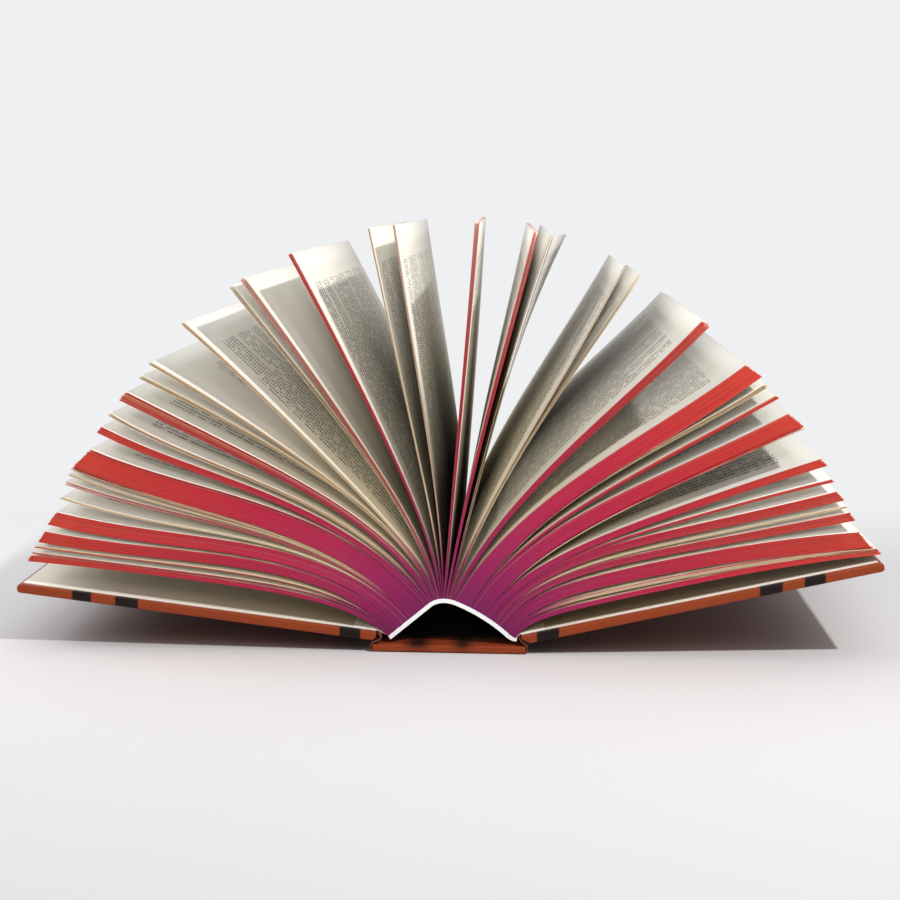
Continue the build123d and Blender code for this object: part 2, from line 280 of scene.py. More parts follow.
back_flank_length = (
    (block_thickness - crown_length) * math.sin(front_flank)
    + crown_radius * (math.cos(back_flank) - math.cos(front_flank))
) / (math.sin(back_flank) + math.sin(front_flank))
front_flank_length = block_thickness - crown_length - back_flank_length
arch_span = (
    back_flank_length * math.cos(back_flank)
    + crown_radius * (math.sin(back_flank) + math.sin(front_flank))
    + front_flank_length * math.cos(front_flank)
)
back_foot_x = arch_offset - arch_span / 2
front_foot_x = arch_offset + arch_span / 2
crown_x = back_foot_x + back_flank_length * math.cos(back_flank) + crown_radius * math.sin(back_flank)
crown_z = foot_height + back_flank_length * math.sin(back_flank) - crown_radius * math.cos(back_flank)


def arch_point(along, depth=0.0):
    """Point on the glued edge, counted from the back foot, and the heading square to it."""
    if along <= back_flank_length:
        square_to = math.pi / 2 + back_flank
        x = back_foot_x + along * math.cos(back_flank)
        z = foot_height + along * math.sin(back_flank)
    elif along <= back_flank_length + crown_length:
        square_to = math.pi / 2 + back_flank - (along - back_flank_length) / crown_radius
        x = crown_x + crown_radius * math.cos(square_to)
        z = crown_z + crown_radius * math.sin(square_to)
    else:
        square_to = math.pi / 2 - front_flank
        x = front_foot_x - (block_thickness - along) * math.cos(front_flank)
        z = foot_height + (block_thickness - along) * math.sin(front_flank)
    return x - depth * math.cos(square_to), z - depth * math.sin(square_to), square_to


def spring(along):
    """How far the glued edge has sprung outwards from the true arch, on its front flank."""
    beyond = along - back_flank_length - crown_length
    if beyond < 0:
        return crown_sprung * math.exp(beyond / 0.0025)
    share = min(1.0, (beyond / front_flank_length + 0.12) / 1.03)
    return most_sprung * math.sin(math.pi * share) ** 0.8


def face_line(line, at_root, at_tip):
    """Points a few millimetres apart along a face beside a group's middle line."""
    spots = []
    for x, z, heading, share in line[::6]:
        aside = at_root + (at_tip - at_root) * share
        spots.append((x - aside * math.sin(heading), z + aside * math.cos(heading)))
    return spots


def share_out(count, total, dice, bundled):
    """Gaps between the leaves of a group: alike with here and there a wide one, or in bundles."""
    if bundled:
        weights = [
            (0.7 + 0.6 * dice.random()) if number % 3 == 2 or count < 5 else 0.02 for number in range(count)
        ]
    else:
        weights = [0.35 + dice.random() ** 2 + (2.2 if dice.random() < 0.05 else 0.0) for _ in range(count)]
    return [total * weight / sum(weights) for weight in weights]


def cut_sheet(name, width, height, bend_places, thickness):
    """A flat sheet, as cut: a plane at its size, scored across where it will bend, and thick.

    It lies from x = 0 outwards, centred on y = 0, with its length and width in the UV map. Its
    faces take its first material, and its edges the second.
    """
    bpy.ops.object.select_all(action="DESELECT")
    bpy.ops.mesh.primitive_plane_add(size=1, location=(width / 2, 0, 0))
    piece = bpy.context.object
    piece.name = name
    piece.data.name = name
    bpy.ops.object.mode_set(mode="EDIT")
    bpy.ops.mesh.select_all(action="SELECT")
    bpy.ops.transform.resize(value=(width, height, 1), center_override=(width / 2, 0, 0))
    for place in bend_places[1:-1]:
        bpy.ops.mesh.select_all(action="SELECT")
        bpy.ops.mesh.bisect(plane_co=(place, 0, 0), plane_no=(1, 0, 0))
    bpy.ops.object.mode_set(mode="OBJECT")
    bpy.ops.object.transform_apply(location=True, rotation=True, scale=True)
    marks = piece.data.uv_layers[0]
    marks.name = "leaf"
    for loop in piece.data.loops:
        spot = piece.data.vertices[loop.vertex_index].co
        marks.data[loop.index].uv = (spot.x / page_width, spot.y / page_height + 0.5)
    body = piece.modifiers.new("body", "SOLIDIFY")
    body.thickness = thickness
    body.offset = 0
    body.material_offset_rim = 1
    piece.data.materials.append(None)
    piece.data.materials.append(None)
    bpy.ops.object.modifier_apply(modifier="body")
    return piece


bends = 24
bend_places = [page_width * (number / bends) ** 1.5 for number in range(bends + 1)]
sheet = cut_sheet("flat_leaf", page_width, page_height, bend_places, leaf_thickness)
flat_spots = [(vertex.co.x, vertex.co.y, vertex.co.z) for vertex in sheet.data.vertices]
flat_stations = [min(range(bends + 1), key=lambda i: abs(bend_places[i] - spot[0])) for spot in flat_spots]
face_sides = [face.normal.z for face in sheet.data.polygons]


def group_line(start, leaves, run, tip, settle):
    """The line of the group's middle leaf, as points, headings and shares of its length."""
    middle = start + leaves * leaf_thickness / 2
    x, z, root = arch_point(middle)
    root += back_lean * math.exp(-middle / lean_depth)
    run = math.radians(run)
    tip = math.radians(tip)
    line = []
    for number in range(int(1.04 * page_width / line_step) + 1):
        share = min(number * line_step / page_width, 1.0)
        heading = run + (root - run) * (1 - share) ** settle + (tip - run) * share**drift_power
        line.append((x, z, heading, share))
        x += line_step * math.cos(heading)
        z += line_step * math.sin(heading)
    return line


def lay_leaf(line, at_root, at_tip, length, sprung):
    """Where a leaf's stations come to lie beside the group's middle line."""
    laid = []
    reached = 0.0
    before = None
    targets = [sprung + place * (length - sprung) / page_width for place in bend_places]
    for x, z, heading, share in line:
        aside = at_root + (at_tip - at_root) * share
        spot = (x - aside * math.sin(heading), z + aside * math.cos(heading))
        if before is not None:
            piece = math.dist(spot, before)
            while len(laid) < len(targets) and reached + piece >= targets[len(laid)]:
                part = (targets[len(laid)] - reached) / piece
                laid.append(
                    (
                        before[0] + part * (spot[0] - before[0]),
                        before[1] + part * (spot[1] - before[1]),
                        heading,
                        share,
                    )
                )
            reached += piece
            if len(laid) == len(targets):
                break
        before = spot
    return laid


# The opening at which a place on a face lies half as deep as in a gap that is shut, the gap that
# parts two bundles of leaves, and how unevenly the leaves are cut at the fore-edge.
gap_half_way = 0.0028
bundle_gap = 0.00012
uneven_cut = 0.00022


def depth_in_gap(spot, facing):
    """How deep in a gap a place on a face lies: 0 where the gap is wide, 1 where it is shut."""
    opening = min(math.dist(spot, other) for other in facing)
    return 1.0 / (1.0 + (opening / gap_half_way) ** 1.6)


def add_leaf_group(name, line, facing, start, leaves, thickness, cream_share, twist, look):
    """Copies of the flat sheet, each bent to its own line, as one group."""
    at_base, begins, ends = look["root_painted_shade"]
    dice = random.Random(name)
    pressed = leaves * leaf_thickness
    gaps = share_out(leaves - 1, max(thickness / 1000 - pressed, 0), dice, cream_share > 0.3)
    copies = bmesh.new()
    tone = copies.loops.layers.float_color.new("tone")
    depth = copies.verts.layers.float.new("gap_depth")
    print_from = copies.verts.layers.float.new("print_from")
    painted_lightness = copies.verts.layers.float.new("painted_lightness")
    opened = 0.0
    bundle_tone = dice.random()
    bundle_cream = dice.random() < cream_share
    for leaf in range(leaves):
        if leaf:
            opened += gaps[leaf - 1]
            if gaps[leaf - 1] > bundle_gap or dice.random() < 0.18:
                bundle_tone = dice.random()
                bundle_cream = dice.random() < cream_share
        at_root = pressed / 2 - (leaf + 0.5) * leaf_thickness
        at_tip = thickness / 2000 - (leaf + 0.5) * leaf_thickness - opened
        sprung = spring(start + (leaf + 0.5) * leaf_thickness)
        laid = lay_leaf(line, at_root, at_tip, page_width + dice.gauss(0, uneven_cut), sprung)
        tone_and_shade = 0.6 * bundle_tone + 0.4 * dice.random()
        if cream_share > 0.3:
            cream_edge = 0.95 if bundle_cream else 0.06
            # In a bundle whose stain turns cream, one leaf in three gets a near-black tone: painted shade for
            # the gap beside it.
            tone_and_shade = 0.02 if leaf % 3 == 1 + (leaves > 4) and bundle_cream else 0.45 + 0.55 * tone_and_shade
        else:
            cream_edge = 0.85 if dice.random() < 0.4 * cream_share else 0.08 * dice.random() ** 4
        first_vertex = len(copies.verts)
        first_face = len(copies.faces)
        copies.from_mesh(sheet.data)
        copies.verts.ensure_lookup_table()
        copies.faces.ensure_lookup_table()
        depths = {1: [1.0] * len(laid), -1: [1.0] * len(laid)}
        outer_sides = [side for side, outer in ((1, leaf == 0), (-1, leaf == leaves - 1)) if outer]
        for side in outer_sides:
            depths[side] = [min(depth_in_gap(place[:2], facing[side]), look["most_depth"]) for place in laid]
        for number, (spot, station) in enumerate(zip(flat_spots, flat_stations)):
            x, z, heading, share = laid[station]
            vertex = copies.verts[first_vertex + number]
            vertex[depth] = depths[1 if spot[2] > 0 else -1][station]
            vertex[print_from] = look["print_from"]
            # Painted shade: the face tone darkens the whole face, and the root tone darkens it further towards
            # the spine.
            whole = min(1.0, max(0.0, (share - begins) / (ends - begins)))
            vertex[painted_lightness] = look["face_painted_shade"] * (at_base + (1 - at_base) * whole)
            aside = spot[2] - (spot[1] / page_height + 0.5) * twist / 1000 * share**1.6
            vertex.co = (x - aside * math.sin(heading), spot[1], z + aside * math.cos(heading))
        above = gaps[leaf - 1] if leaf else 1.0
        below = gaps[leaf] if leaf < leaves - 1 else 1.0
        for number, face in enumerate(copies.faces[first_face:]):
            face.smooth = face.material_index == 0
            upward = face_sides[number] > 0
            opening = above if upward else below
            outermost = (leaf == 0 and upward) or (leaf == leaves - 1 and face_sides[number] < 0)
            shut = 1.0 if outermost else min(1.0, max(0.0, 1.6 - opening / 0.0004))
            for corner in face.loops:
                corner[tone] = (tone_and_shade, cream_edge, shut, 1)
    data = bpy.data.meshes.new(name)
    copies.to_mesh(data)
    copies.free()
    piece = bpy.data.objects.new(name, data)
    bpy.context.scene.collection.objects.link(piece)
    return piece


def new_material(name):
    """A material, its node tree and its principled surface."""
    material = bpy.data.materials.new(name)
    material.use_nodes = True
    tree = material.node_tree
    return material, tree, tree.nodes["Principled BSDF"]


def mix(tree, share, first, second, kind="MIX"):
    """A colour mix; share is a socket or number, the others are sockets or colours."""
    node = tree.nodes.new("ShaderNodeMix")
    node.data_type = "RGBA"
    node.blend_type = kind
    for socket, value in ((node.inputs[0], share), (node.inputs[6], first), (node.inputs[7], second)):
        if isinstance(value, (int, float)):
            socket.default_value = value
        elif isinstance(value, tuple):
            socket.default_value = (*value, 1)
        else:
            tree.links.new(value, socket)
    return node.outputs[2]


def ramp(tree, value, stops):
    """A colour ramp over a value; stops are (place, colour)."""
    node = tree.nodes.new("ShaderNodeValToRGB")
    elements = node.color_ramp.elements
    while len(elements) < len(stops):
        elements.new(0.5)
    for element, (place, color) in zip(elements, stops):
        element.position = place
        element.color = (*color, 1)
    tree.links.new(value, node.inputs[0])
    return node.outputs["Color"]


def noise(tree, vector, scale, detail, roughness):
    """Soft spots of a size, for clouds, fibre and grain."""
    node = tree.nodes.new("ShaderNodeTexNoise")
    node.inputs["Scale"].default_value = scale
    node.inputs["Detail"].default_value = detail
    node.inputs["Roughness"].default_value = roughness
    tree.links.new(vector, node.inputs["Vector"])
    return node.outputs["Fac"]


def stretch(tree, vector, scale):
    """A place drawn out, so that a grain runs one way."""
    node = tree.nodes.new("ShaderNodeMapping")
    node.inputs["Scale"].default_value = scale
    tree.links.new(vector, node.inputs["Vector"])
    return node.outputs["Vector"]


def bump(tree, surface, height, distance, strength):
    """A fine relief in the surface, of a depth in metres."""
    node = tree.nodes.new("ShaderNodeBump")
    node.inputs["Distance"].default_value = distance
    node.inputs["Strength"].default_value = strength
    tree.links.new(height, node.inputs["Height"])
    tree.links.new(node.outputs["Normal"], surface.inputs["Normal"])


def marked(tree, name):
    """A mark that each leaf carries on its points or corners."""
    node = tree.nodes.new("ShaderNodeAttribute")
    node.attribute_name = name
    return node.outputs


def tone_of(tree):
    """A leaf's own tone, near black where shade is painted beside a bundle's gap; how far its stain turns
    cream; and how tightly it lies on its neighbour.
    """
    node = tree.nodes.new("ShaderNodeSeparateColor")
    tree.links.new(marked(tree, "tone")["Color"], node.inputs[0])
    return node.outputs


# Paper faces: cream stock, rows of print between wide margins, a soft fibre in the surface, and
# painted shade between the leaves and towards the spine.
paper, tree, surface = new_material("leaf_paper")
place = tree.nodes.new("ShaderNodeUVMap")
place.uv_map = "leaf"
on_leaf = apart(tree, place.outputs["UV"])
across = calc(tree, "MULTIPLY", on_leaf["X"], 1000 * page_width)
down = calc(tree, "MULTIPLY", on_leaf["Y"], 1000 * page_height)
leaf_tone = tone_of(tree)
# Millimetres on the page: the pitch of rows, words and letters, and where the print ends.
row_pitch = 6.6
word_pitch = 1.7
letter_pitch = 1.15
inner_margin = 22.0
outer_end = 136.0
foot_end = 210.0
last_row_short = 22.0
row_number = calc(tree, "FLOOR", calc(tree, "DIVIDE", down, row_pitch))
in_row = calc(tree, "FRACT", calc(tree, "DIVIDE", down, row_pitch))
leaf_number = calc(tree, "FLOOR", calc(tree, "MULTIPLY", leaf_tone["Red"], 997.0))


def cell_dice(tree, along, row, leaf):
    """A throw for each cell along a row of print, different on each leaf."""
    corner = tree.nodes.new("ShaderNodeCombineXYZ")
    tree.links.new(along, corner.inputs["X"])
    tree.links.new(row, corner.inputs["Y"])
    tree.links.new(leaf, corner.inputs["Z"])
    throw = tree.nodes.new("ShaderNodeTexWhiteNoise")
    throw.noise_dimensions = "3D"
    tree.links.new(corner.outputs[0], throw.inputs["Vector"])
    return throw.outputs["Value"]


row_dice = cell_dice(tree, calc(tree, "MULTIPLY", row_number, 0.0), row_number, leaf_number)
slid = calc(tree, "ADD", across, calc(tree, "MULTIPLY", row_dice, 7.0))
letter = calc(tree, "DIVIDE", slid, letter_pitch)
letter_dice = cell_dice(tree, calc(tree, "FLOOR", letter), row_number, leaf_number)
stroke_width = calc(tree, "MULTIPLY_ADD", letter_dice, 0.5, 0.36)
stroke = calc(tree, "LESS_THAN", calc(tree, "FRACT", letter), stroke_width)
word = calc(tree, "FLOOR", calc(tree, "DIVIDE", slid, word_pitch))
space = calc(tree, "GREATER_THAN", cell_dice(tree, word, row_number, leaf_number), 0.11)
tall = calc(tree, "MULTIPLY", calc(tree, "GREATER_THAN", in_row, 0.24), calc(tree, "LESS_THAN", in_row, 0.72))
row_end = tree.nodes.new("ShaderNodeTexWhiteNoise")
row_end.noise_dimensions = "2D"
end_vector = tree.nodes.new("ShaderNodeCombineXYZ")
tree.links.new(row_number, end_vector.inputs["X"])
tree.links.new(leaf_number, end_vector.inputs["Y"])
tree.links.new(end_vector.outputs[0], row_end.inputs["Vector"])
short = calc(tree, "MULTIPLY", calc(tree, "GREATER_THAN", row_end.outputs["Value"], 0.86), last_row_short)
inside = calc(
    tree,
    "MULTIPLY",
    calc(tree, "GREATER_THAN", across, inner_margin),
    calc(tree, "LESS_THAN", calc(tree, "ADD", across, short), outer_end),
)
inside = calc(tree, "MULTIPLY", inside, calc(tree, "GREATER_THAN", down, marked(tree, "print_from")["Fac"]))
inside = calc(tree, "MULTIPLY", inside, calc(tree, "LESS_THAN", down, foot_end))
ink = calc(tree, "MULTIPLY", calc(tree, "MULTIPLY", tall, space), calc(tree, "MULTIPLY", stroke, inside))
ink = calc(tree, "MULTIPLY", ink, calc(tree, "MULTIPLY_ADD", down, -0.0016, 0.98))
coordinates = tree.nodes.new("ShaderNodeTexCoord")
fibre = noise(tree, coordinates.outputs["Object"], 900.0, 3.0, 0.6)
stock = mix(tree, calc(tree, "MULTIPLY", leaf_tone["Red"], 0.5), (0.85, 0.82, 0.755), (0.825, 0.785, 0.70))
stock = mix(tree, calc(tree, "MULTIPLY", fibre, 0.06), stock, (0.62, 0.57, 0.49))
# Painted bounce light: the stock turns warmer, and a little darker, towards the spine.
stock = mix(tree, spread(tree, across, 115.0, 28.0, 0.0, 0.8), stock, (1.0, 0.92, 0.68), "MULTIPLY")
# Painted shade per group: the stock is darkened by the lightness its leaves carry on their points.
stock = mix(tree, marked(tree, "painted_lightness")["Fac"], (0.0, 0.0, 0.0), stock)
# Painted shade in the gaps between leaves: the narrower the gap and the further from the head and tail edges,
# the darker the face; it eases off towards the fore-edge and the tail, and turns near black close to the spine.
from_edge = calc(tree, "MINIMUM", down, calc(tree, "SUBTRACT", 1000 * page_height, down))
gap_depth = marked(tree, "gap_depth")["Fac"]
gap_opening = calc(tree, "SUBTRACT", calc(tree, "DIVIDE", 1.0, calc(tree, "MAXIMUM", gap_depth, 0.01)), 1.0)
gap_opening = calc(tree, "POWER", calc(tree, "MAXIMUM", gap_opening, 0.0), 0.625)
gap_opening = calc(tree, "MULTIPLY", gap_opening, 1000 * gap_half_way)
ratio = calc(tree, "DIVIDE", from_edge, calc(tree, "MULTIPLY_ADD", gap_opening, 2.2, 0.35))
ratio = calc(tree, "POWER", ratio, 1.4)
shaded = calc(tree, "DIVIDE", ratio, calc(tree, "ADD", ratio, 1.0))
shaded = calc(tree, "MAXIMUM", shaded, spread(tree, gap_opening, 2.0, 10.0, 0.0, 0.7))
for value, low, high, at_low, at_high in (
    (gap_opening, 0.8, 9.0, 0.97, 0.20),
    (across, 150.0, 72.0, 0.1, 1.0),
    (down, 90.0, 229.0, 1.0, 0.35),
):
    shaded = calc(tree, "MULTIPLY", shaded, spread(tree, value, low, high, at_low, at_high))
near_root = spread(tree, across, 62.0, 20.0, soft=True)
stock = mix(tree, shaded, stock, mix(tree, near_root, (0.130, 0.082, 0.032), (0.020, 0.012, 0.006)))


def cream_over_stain(tree, leaf_tone, out):
    """How far the stain turns cream here: with the leaf's mark for it, and never close to the spine."""
    return calc(tree, "MULTIPLY", leaf_tone["Green"], spread(tree, out, 0.07, 0.26, soft=True))


cream_here = cream_over_stain(tree, leaf_tone, on_leaf["X"])
edge_tan = spread(tree, from_edge, 0.3, 2.6, 0.75, 0.0)
stock = mix(tree, calc(tree, "MULTIPLY", edge_tan, cream_here), stock, (0.66, 0.49, 0.25))
# Print is fainter deep in a gap, under the painted shade.
ink = calc(tree, "MULTIPLY", ink, calc(tree, "MULTIPLY_ADD", gap_depth, -0.7, 0.9))
printed = mix(tree, ink, stock, (0.035, 0.033, 0.032))
shut = calc(tree, "MULTIPLY", leaf_tone["Blue"], spread(tree, gap_depth, 0.62, 0.92))
reach = calc(tree, "MULTIPLY_ADD", shut, 2.2, 0.10)
reach = calc(tree, "ADD", reach, spread(tree, across, 42.0, 12.0, 0.0, 2.0, soft=True))
seep = calc(tree, "SUBTRACT", 1.0, calc(tree, "DIVIDE", from_edge, reach))
seep = calc(tree, "MULTIPLY", calc(tree, "MAXIMUM", seep, 0.0), 1.6)
seep = calc(tree, "MINIMUM", seep, 0.85)
seep = calc(tree, "MULTIPLY", seep, calc(tree, "SUBTRACT", 1.0, cream_here))
stain_here = ramp(
    tree,
    on_leaf["X"],
    (
        (0.0, (0.20, 0.02, 0.12)),
        (0.3, (0.48, 0.03, 0.12)),
        (0.6, (0.60, 0.05, 0.07)),
        (1.0, (0.68, 0.085, 0.05)),
    ),
)
tree.links.new(mix(tree, seep, printed, stain_here), surface.inputs["Base Color"])
surface.inputs["Roughness"].default_value = 0.85
surface.inputs["Specular IOR Level"].default_value = 0.2
bump(tree, surface, fibre, 0.00004, 0.4)

# Stained edges: the stain is purple near the spine, crimson further out and orange-red at the
# fore-edge, streaked from leaf to leaf, and turns cream on some of the outer leaves.
stain, tree, surface = new_material("stained_edge")
place = tree.nodes.new("ShaderNodeUVMap")
place.uv_map = "leaf"
on_leaf = apart(tree, place.outputs["UV"])
leaf_tone = tone_of(tree)
color = ramp(
    tree,
    on_leaf["X"],
    (
        (0.0, (0.21, 0.020, 0.115)),
        (0.12, (0.33, 0.020, 0.115)),
        (0.30, (0.46, 0.016, 0.088)),
        (0.50, (0.54, 0.018, 0.062)),
        (0.72, (0.61, 0.030, 0.040)),
        (1.0, (0.68, 0.052, 0.032)),
    ),
)
color = mix(tree, calc(tree, "MULTIPLY", leaf_tone["Red"], 0.45), color, (0.30, 0.02, 0.03), "MULTIPLY")
streak = calc(tree, "GREATER_THAN", leaf_tone["Red"], 0.86)
color = mix(tree, calc(tree, "MULTIPLY", streak, 0.24), color, (0.80, 0.30, 0.22))
# Colours where the stain turns cream; the darkest stop is what the near-black leaf beside a bundle's gap takes:
# painted shade.
bare = ramp(
    tree,
    leaf_tone["Red"],
    (
        (0.0, (0.14, 0.07, 0.035)),
        (0.2, (0.46, 0.26, 0.12)),
        (0.38, (0.72, 0.53, 0.31)),
        (1.0, (0.84, 0.72, 0.50)),
    ),
)
color = mix(tree, cream_over_stain(tree, leaf_tone, on_leaf["X"]), color, bare)
tree.links.new(color, surface.inputs["Base Color"])
surface.inputs["Roughness"].default_value = 0.6
surface.inputs["Specular IOR Level"].default_value = 0.15

# Each cover turns about the upper inner corner of its board and slopes up and away from it.
hinges = {joint["name"]: joint for joint in frame["record"]["behaviour"]["joints"]}
board_slopes = {"back": (-1, math.radians(6.8)), "front": (1, math.radians(12.8))}


def on_board(cover, out, up):
    """A point on a cover at rest, measured out from its turning corner and up from its inner face."""
    side, slope = board_slopes[cover]
    corner = hinges[cover + "_hinge"]["pos_m"]
    return (
        corner[0] + side * (out * math.cos(slope) - up * math.sin(slope)),
        corner[2] + out * math.sin(slope) + up * math.cos(slope),
    )


# How the faces of a group look. print_from is the head margin in millimetres, and one past the
# page's height leaves the page blank. most_depth is the deepest that its outer faces count as
# lying in a gap, and so caps the shade painted there. The face tone is painted shade over the whole
# face, and the root tone is painted shade towards the spine: how light the faces are there, and the
# shares of the leaf's length between which they come back to their tone.
plain_look = {"print_from": 20.0, "most_depth": 1.0, "face_painted_shade": 1.0, "root_painted_shade": (1.0, 0.0, 1.0)}
looks = {
    "leaves_back_16": {"print_from": 70.0},
    "leaves_back_18": {"print_from": 14.0},
    "leaves_back_19": {"print_from": 300.0, "root_painted_shade": (0.3, 0.3, 0.75)},
    "leaves_back_20": {"root_painted_shade": (0.7, 0.25, 0.75)},
    "leaves_back_21": {"root_painted_shade": (0.25, 0.4, 0.85)},
    "leaves_back_22": {"root_painted_shade": (0.05, 0.25, 0.65)},
    "leaves_front_02a": {"face_painted_shade": 0.82, "root_painted_shade": (0.03, 0.60, 0.93)},
    "leaves_front_02b": {"face_painted_shade": 0.86},
    "leaves_front_03": {"face_painted_shade": 0.86, "most_depth": 0.06},
    "leaves_front_04": {"face_painted_shade": 0.78, "root_painted_shade": (0.15, 0.55, 0.92)},
    "leaves_front_05": {"face_painted_shade": 0.90, "most_depth": 0.16},
    "leaves_front_06": {"face_painted_shade": 0.76},
    "leaves_front_07": {"face_painted_shade": 0.80},
    "leaves_front_08": {"face_painted_shade": 0.76},
    "leaves_front_09": {"face_painted_shade": 0.72},
    "leaves_front_10": {"face_painted_shade": 0.76},
    "leaves_front_11": {"face_painted_shade": 0.78},
}
start = 0.0
group_lines = []
for name, leaves, run, tip, settle, thickness, cream_share, twist in leaf_groups:
    group_lines.append(group_line(start, leaves, run, tip, settle))
    start += leaves * leaf_thickness
face_lines = [
    (
        face_line(line, group[1] * leaf_thickness / 2, group[5] / 2000),
        face_line(line, -group[1] * leaf_thickness / 2, -group[5] / 2000),
    )
    for line, group in zip(group_lines, leaf_groups)
]
board_faces = {cover: [on_board(cover, 0.003 * number, 0.0) for number in range(50)] for cover in board_slopes}
start = 0.0
for number, (name, leaves, run, tip, settle, thickness, cream_share, twist) in enumerate(leaf_groups):
    facing = {
        1: face_lines[number - 1][1] if number else board_faces["back"],
        -1: face_lines[number + 1][0] if number + 1 < len(leaf_groups) else board_faces["front"],
    }
    look = {**plain_look, **looks.get(name, {})}
    piece = add_leaf_group(name, group_lines[number], facing, start, leaves, thickness, cream_share, twist, look)
    start += leaves * leaf_thickness
    piece.data.materials.append(paper)
    piece.data.materials.append(stain)
    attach(piece, "block")
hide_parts("text_block")
bpy.data.objects.remove(sheet)

# Endpapers
# Each endpaper is one folded sheet of stouter cream paper: one half is pasted on the board, the
# other is tipped to the outer leaf. Its fold crosses from the foot of the block to the board.

endpaper_thickness = 0.00018
line_pieces = 8


def smooth_line(points, steps):
    """A soft line through a few points, as many finer points."""
    ends = [points[0], *points, points[-1]]
    line = []
    for a, b, c, d in zip(ends, ends[1:], ends[2:], ends[3:]):
        for step in range(steps):
            t = step / steps
            line.append(
                tuple(
                    0.5
                    * (
                        2 * b[i]
                        + (c[i] - a[i]) * t
                        + (2 * a[i] - 5 * b[i] + 4 * c[i] - d[i]) * t**2
                        + (3 * b[i] - a[i] - 3 * c[i] + d[i]) * t**3
                    )
                    for i in (0, 1)
                )
            )
    return [*line, points[-1]]


def add_bent_sheet(name, line, height, thickness, stations):
    """A flat strip cut to the line's length and bent along it."""
    reached = [0.0]
    for before, after in zip(line, line[1:]):
        reached.append(reached[-1] + math.dist(before, after))
    places = [reached[-1] * number / stations for number in range(stations + 1)]
    piece = cut_sheet(name, reached[-1], height, places, thickness)
    for vertex in piece.data.vertices:
        along = min(max(vertex.co.x, 0.0), reached[-1])
        number = next((i for i in range(1, len(line)) if reached[i] >= along - 1e-9), len(line) - 1)
        before, after = line[number - 1], line[number]
        part = (along - reached[number - 1]) / max(reached[number] - reached[number - 1], 1e-9)
        further, painted_front_shade = line[min(number + 1, len(line) - 1)], line[max(number - 2, 0)]
        ahead = (further[0] - painted_front_shade[0], further[1] - painted_front_shade[1])
        size = math.hypot(*ahead)
        side = (-ahead[1] / size, ahead[0] / size)
        vertex.co = (
            before[0] + part * (after[0] - before[0]) + side[0] * vertex.co.z,
            vertex.co.y,
            before[1] + part * (after[1] - before[1]) + side[1] * vertex.co.z,
        )
    for face in piece.data.polygons:
        face.use_smooth = face.material_index == 0
    return piece


# Endpaper stock: a stouter, slightly warmer cream than the leaves, without print, with painted shade
# where the leaves lie over it.
endpaper_stock, tree, surface = new_material("endpaper_stock")
coordinates = tree.nodes.new("ShaderNodeTexCoord")
fibre = noise(tree, coordinates.outputs["Object"], 700.0, 3.0, 0.6)
cloud = noise(tree, coordinates.outputs["Object"], 26.0, 2.0, 0.5)
stock = mix(tree, calc(tree, "MULTIPLY", cloud, 0.35), (0.86, 0.82, 0.74), (0.80, 0.74, 0.64))
stock = mix(tree, calc(tree, "MULTIPLY", fibre, 0.10), stock, (0.60, 0.52, 0.42))
# Painted shade: none in a thin strip at head and tail and at the back board's outer end; on the back board it
# deepens towards the spine, and on the front board it is deepest throughout.
in_book = apart(tree, coordinates.outputs["Object"])
from_edge = calc(tree, "SUBTRACT", page_height / 2, calc(tree, "ABSOLUTE", in_book["Y"]))
behind_margin = spread(tree, from_edge, 0.001, 0.005, soft=True)
from_hinge = spread(tree, in_book["X"], -0.138, 0.03, 0.42, 0.85)
from_corner = spread(tree, in_book["X"], -0.165, -0.134, soft=True)
shaded = calc(tree, "MULTIPLY", calc(tree, "MULTIPLY", behind_margin, from_hinge), from_corner)
stock = mix(tree, shaded, stock, (0.175, 0.115, 0.062))
tree.links.new(stock, surface.inputs["Base Color"])
surface.inputs["Roughness"].default_value = 0.8
surface.inputs["Specular IOR Level"].default_value = 0.25
bump(tree, surface, fibre, 0.00005, 0.5)

feet = {"back": arch_point(0.0), "front": arch_point(block_thickness)}
for cover, foot in feet.items():
    side, slope = board_slopes[cover]
    node = bpy.data.objects[cover + "_endpaper"]
    node.data.materials.clear()
    node.data.materials.append(endpaper_stock)
    corner = hinges[cover + "_hinge"]["pos_m"]
    spots = [node.matrix_world @ vertex.co for vertex in node.data.vertices]
    fore_edge = max(
        side * (spot.x - corner[0]) * math.cos(slope) + (spot.z - corner[2]) * math.sin(slope) for spot in spots
    )
    line = smooth_line(
        [
            (foot[0] - side * 0.0002, foot[1] + 0.0002),
            on_board(cover, -0.0008, 0.0001),
            on_board(cover, 0.0004, 0.0004),
            on_board(cover, 0.0035, 0.00036),
            on_board(cover, 0.0120, 0.00018),
            on_board(cover, 0.0300, 0.00012),
            on_board(cover, 0.0900, 0.00012),
            on_board(cover, fore_edge, 0.00012),
        ],
        line_pieces,
    )
    piece = add_bent_sheet(cover + "_endpaper_sheet", line, page_height - 0.0004, endpaper_thickness, 60)
    piece.data.materials[0] = endpaper_stock
    piece.data.materials[1] = endpaper_stock
    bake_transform(piece)

# Spine lining
# A stiff white card glued round the arched spine edge of the block. It is pressed from soft
# fibres, cut square at the head, and its front foot springs outwards over its last millimetres.

